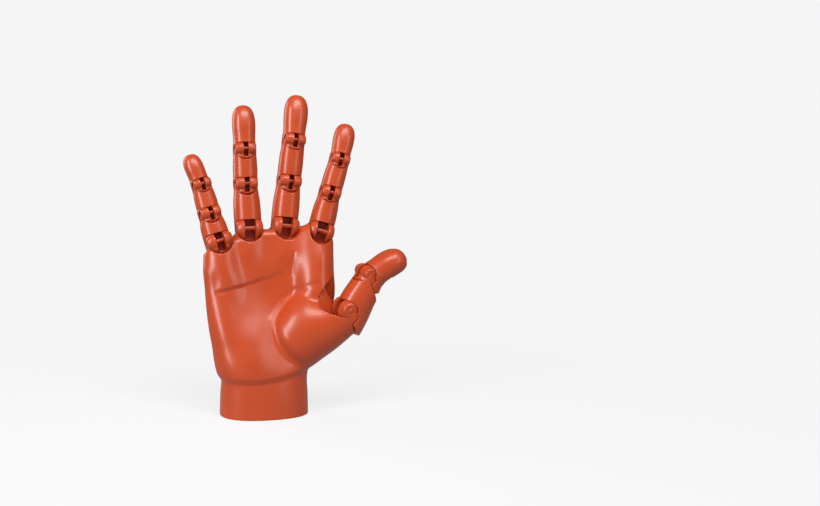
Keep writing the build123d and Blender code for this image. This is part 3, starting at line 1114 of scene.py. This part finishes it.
@dataclass(frozen=True)
class Metal:
    """Turned or pressed metal."""
    name: str
    colour: tuple[float, float, float]
    roughness: float

    def make(self) -> bpy.types.Material:
        """Builds the material.

        Returns:
            The material.
        """
        material = bpy.data.materials.new(self.name)
        nodes = Nodes(material)
        place = nodes.add("ShaderNodeTexCoord", output="Object")
        grain = nodes.add("ShaderNodeTexNoise", {}, {"Vector": place, "Scale": 900.0, "Detail": 3.0})
        metal = nodes.add("ShaderNodeBsdfPrincipled", {}, {
            "Base Color": (*self.colour, 1.0), "Metallic": 1.0,
            "Roughness": grain * 0.15 + self.roughness})
        nodes.finish(metal)
        return material


@dataclass(frozen=True)
class PaleFloor:
    """White floor that fades into the pale surroundings."""
    name: str = "pale_floor"
    albedo: float = 0.17
    near_glow: float = 0.76
    bounce: float = 0.22
    glow: float = 0.913
    fade_from: float = 0.10
    fade_to: float = 0.45

    def make(self) -> bpy.types.Material:
        """Builds the material.

        Returns:
            The material.
        """
        material = bpy.data.materials.new(self.name)
        nodes = Nodes(material)
        place = nodes.add("ShaderNodeTexCoord", output="Object")
        away = nodes.add("ShaderNodeVectorMath", {"operation": "LENGTH"}, {0: place}, "Value")
        fade = ((away - self.fade_from) / (self.fade_to - self.fade_from)).clamped()
        matt = nodes.add("ShaderNodeBsdfDiffuse", {}, {"Color": (*(self.albedo,) * 3, 1.0)})
        seen = nodes.add("ShaderNodeLightPath", output="Is Camera Ray")
        bounced, near_seen, far_seen = (
            nodes.add("ShaderNodeEmission", {}, {"Color": (1, 1, 1, 1), "Strength": power})
            for power in (self.bounce, self.near_glow, self.glow))
        soft = nodes.add("ShaderNodeMixShader", {}, {0: seen, 1: bounced, 2: near_seen})
        near = nodes.add("ShaderNodeAddShader", {}, {0: matt, 1: soft})
        light = nodes.add("ShaderNodeMixShader", {}, {0: seen, 1: bounced, 2: far_seen})
        nodes.finish(nodes.add("ShaderNodeMixShader", {}, {0: fade, 1: near, 2: light}))
        return material


# --- studio ---------------------------------------------------------------------------------
@dataclass
class Studio:
    """Floor, light and camera."""
    surroundings: float = 0.913
    ambient: float = 0.15
    distance: float = 0.430
    height: float = 0.108
    turn: float = -14.0
    tilt: float = 1.6
    lens: float = 28.7
    shift: tuple[float, float] = (0.178, 0.018)

    def area(self, name: str, place: tuple, size: tuple, power: float, aim: tuple = (0, 0, 0.1)) -> None:
        """Adds an area light.

        Args:
            name: The light's name.
            place: Where it stands.
            size: Its width and height.
            power: Watts.
            aim: What it points at.
        """
        light = bpy.data.lights.new(name, "AREA")
        light.shape, light.size, light.size_y, light.energy = "RECTANGLE", *size, power
        lamp = bpy.data.objects.new(name, light)
        lamp.location = place
        lamp.rotation_euler = (Vector(aim) - Vector(place)).to_track_quat("-Z", "Y").to_euler()
        bpy.context.scene.collection.objects.link(lamp)

    def light(self) -> None:
        """Adds the lights and the pale surroundings."""
        self.area("key_left", (-0.85, -0.55, 0.40), (0.24, 0.9), 9.0)
        self.area("strip_right", (0.55, -0.80, 0.30), (0.16, 0.8), 1.8)
        self.area("over_top", (0.05, -0.60, 0.85), (0.7, 0.35), 7.0)
        self.area("behind_left", (-0.7, 0.65, 0.5), (0.5, 0.8), 4.0)
        world = bpy.data.worlds.new("surroundings")
        bpy.context.scene.world = world
        nodes = Nodes(world)
        seen = nodes.add("ShaderNodeLightPath", output="Is Camera Ray")
        dim, bright = (nodes.add("ShaderNodeBackground", {}, {"Color": (1, 1, 1, 1), "Strength": power})
                       for power in (self.ambient, self.surroundings))
        glow = nodes.add("ShaderNodeMixShader", {}, {0: seen, 1: dim, 2: bright})
        nodes.finish(glow, "ShaderNodeOutputWorld")

    def floor(self) -> None:
        """Adds the floor."""
        radius = 6.0
        corners = [(radius * math.cos(t), radius * math.sin(t), -0.0002)
                   for t in (2 * math.pi * i / 64 for i in range(64))]
        mesh = bpy.data.meshes.new("floor")
        mesh.from_pydata(corners, [], [tuple(range(64))])
        mesh.materials.append(PaleFloor().make())
        ground = bpy.data.objects.new("floor", mesh)
        bpy.context.scene.collection.objects.link(ground)

    def camera(self) -> None:
        """Adds the camera."""
        lens = bpy.data.cameras.new("camera")
        lens.lens, lens.sensor_width = self.lens, 36.0
        lens.shift_x, lens.shift_y = self.shift
        lens.clip_start, lens.clip_end = 0.01, 20.0
        camera = bpy.data.objects.new("camera", lens)
        turn, tilt = math.radians(self.turn), math.radians(self.tilt)
        camera.location = (self.distance * math.sin(turn), -self.distance * math.cos(turn), self.height)
        camera.rotation_euler = (math.pi / 2 - tilt, 0.0, turn)
        bpy.context.scene.collection.objects.link(camera)
        bpy.context.scene.camera = camera

    def build(self) -> None:
        """Sets up everything round the hand."""
        bpy.context.scene.view_settings.view_transform = "Standard"
        self.light()
        self.floor()
        self.camera()


# --- this hand ------------------------------------------------------------------------------
PALM_PITCH = 0.75
DIGIT_PITCH = 0.42
FINGER_PARTS = ["proximal", "middle", "distal"]
FINGER_JOINTS = ["knuckle", "middle_joint", "end_joint"]
MIDDLE_HINGE = Hinge(4.5, 3.7, 1.65, 3.2, 0.52)
END_HINGE = Hinge(4.1, 3.4, 1.55, 2.9, 0.46)
FINGER_HINGES = [Hinge(6.6, 5.8, 3.7, 4.6, 0.72, 2.4, 1.0), MIDDLE_HINGE, END_HINGE]
LITTLE_HINGES = [Hinge(5.9, 5.1, 2.9, 4.2, 0.66, 2.0, 1.0), Hinge(4.1, 3.4, 1.5, 3.0, 0.50),
                 Hinge(3.7, 3.0, 1.4, 2.7, 0.44)]
THUMB_HINGES = [Hinge(6.8, 6.0, 3.2, 4.8, 0.45), Hinge(5.2, 4.3, 1.8, 3.8, 0.30)]


def lean(spread: float, forward: float) -> tuple[float, float, float]:
    """Direction of a phalanx that leans aside and towards the palm, in degrees.

    Args:
        spread: Lean towards the thumb.
        forward: Lean towards the palm.

    Returns:
        The direction.
    """
    s, f = math.radians(spread), math.radians(forward)
    return (math.sin(s) * math.cos(f), -math.sin(f), math.cos(s) * math.cos(f))


def make_digits() -> list[Digit]:
    """The five digits, index first and thumb last.

    Returns:
        The digits.
    """
    index = Digit("index", FINGER_PARTS, FINGER_JOINTS,
                  [(8.4, 9.0, 5.5), (7.1, 7.7, 5.0), (6.6, 6.8, 4.4), (7.0, 6.3, 3.8)],
                  FINGER_HINGES, lean(13.0, -4.8), 25.2, open_sides=(0.0, 6.0))
    middle = Digit("middle", FINGER_PARTS, FINGER_JOINTS,
                   [(8.8, 9.2, 5.5), (7.8, 8.0, 5.2), (7.3, 7.1, 4.6), (7.9, 6.9, 4.0)],
                   FINGER_HINGES, lean(5.6, -3.9), 30.5)
    ring = Digit("ring", FINGER_PARTS, FINGER_JOINTS,
                 [(8.9, 9.2, 5.5), (7.8, 8.0, 5.2), (7.3, 7.1, 4.6), (7.6, 6.9, 4.0)],
                 FINGER_HINGES, lean(-1.8, -4.0), 29.0)
    little = Digit("little", FINGER_PARTS, FINGER_JOINTS,
                   [(8.7, 8.5, 5.0), (7.2, 7.1, 4.5), (6.3, 6.2, 4.0), (6.2, 5.6, 3.4)],
                   LITTLE_HINGES, lean(-22.0, -8.6), 21.1, open_sides=(6.0, 0.0))
    thumb = Digit("thumb", ["proximal", "distal"], ["knuckle", "end_joint"],
                  [(9.4, 11.8, 5.8), (8.7, 9.3, 4.7), (8.9, 8.4, 3.3)],
                  THUMB_HINGES, (24.9, -4.0, 14.2), 27.6, fold=0.8,
                  first_direction=(0.55, -0.3, 0.6), open_sides=(6.0, 6.0))
    return [index, middle, ring, little, thumb]


def dress_nodes(nodes: dict[str, bpy.types.Object], plastic: bpy.types.Material) -> None:
    """Gives the pins, plate, insert and screws their finishes.

    Args:
        nodes: The frame's nodes by name.
        plastic: The hand's plastic.
    """
    brass = Metal("turned_brass", (0.80, 0.58, 0.27), 0.24).make()
    steel = Metal("bright_steel", (0.62, 0.62, 0.63), 0.26).make()
    special = {"wrist_thread_insert": brass, "wrist_screws": steel}
    for name, node in nodes.items():
        node.data.materials.clear()
        node.data.materials.append(special.get(name, plastic))
        LOG.info("dressed %s", name)


def main() -> None:
    """Builds the hand's skins and the studio."""
    logging.basicConfig(level=logging.INFO)
    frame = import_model()
    joints = {joint["name"]: joint for joint in frame["joints"]}
    coarse = 1.0
    digits = make_digits()
    for digit in digits:
        digit.place(joints)
    plastic = SatinPlastic().make()
    dress_nodes(frame["nodes"], plastic)
    PalmSkin(Palm(digits), PALM_PITCH * coarse).build(plastic)
    for digit in digits:
        DigitSkins(digit, DIGIT_PITCH * coarse).build(plastic)
    Studio().build()


if __name__ == "__main__":
    main()
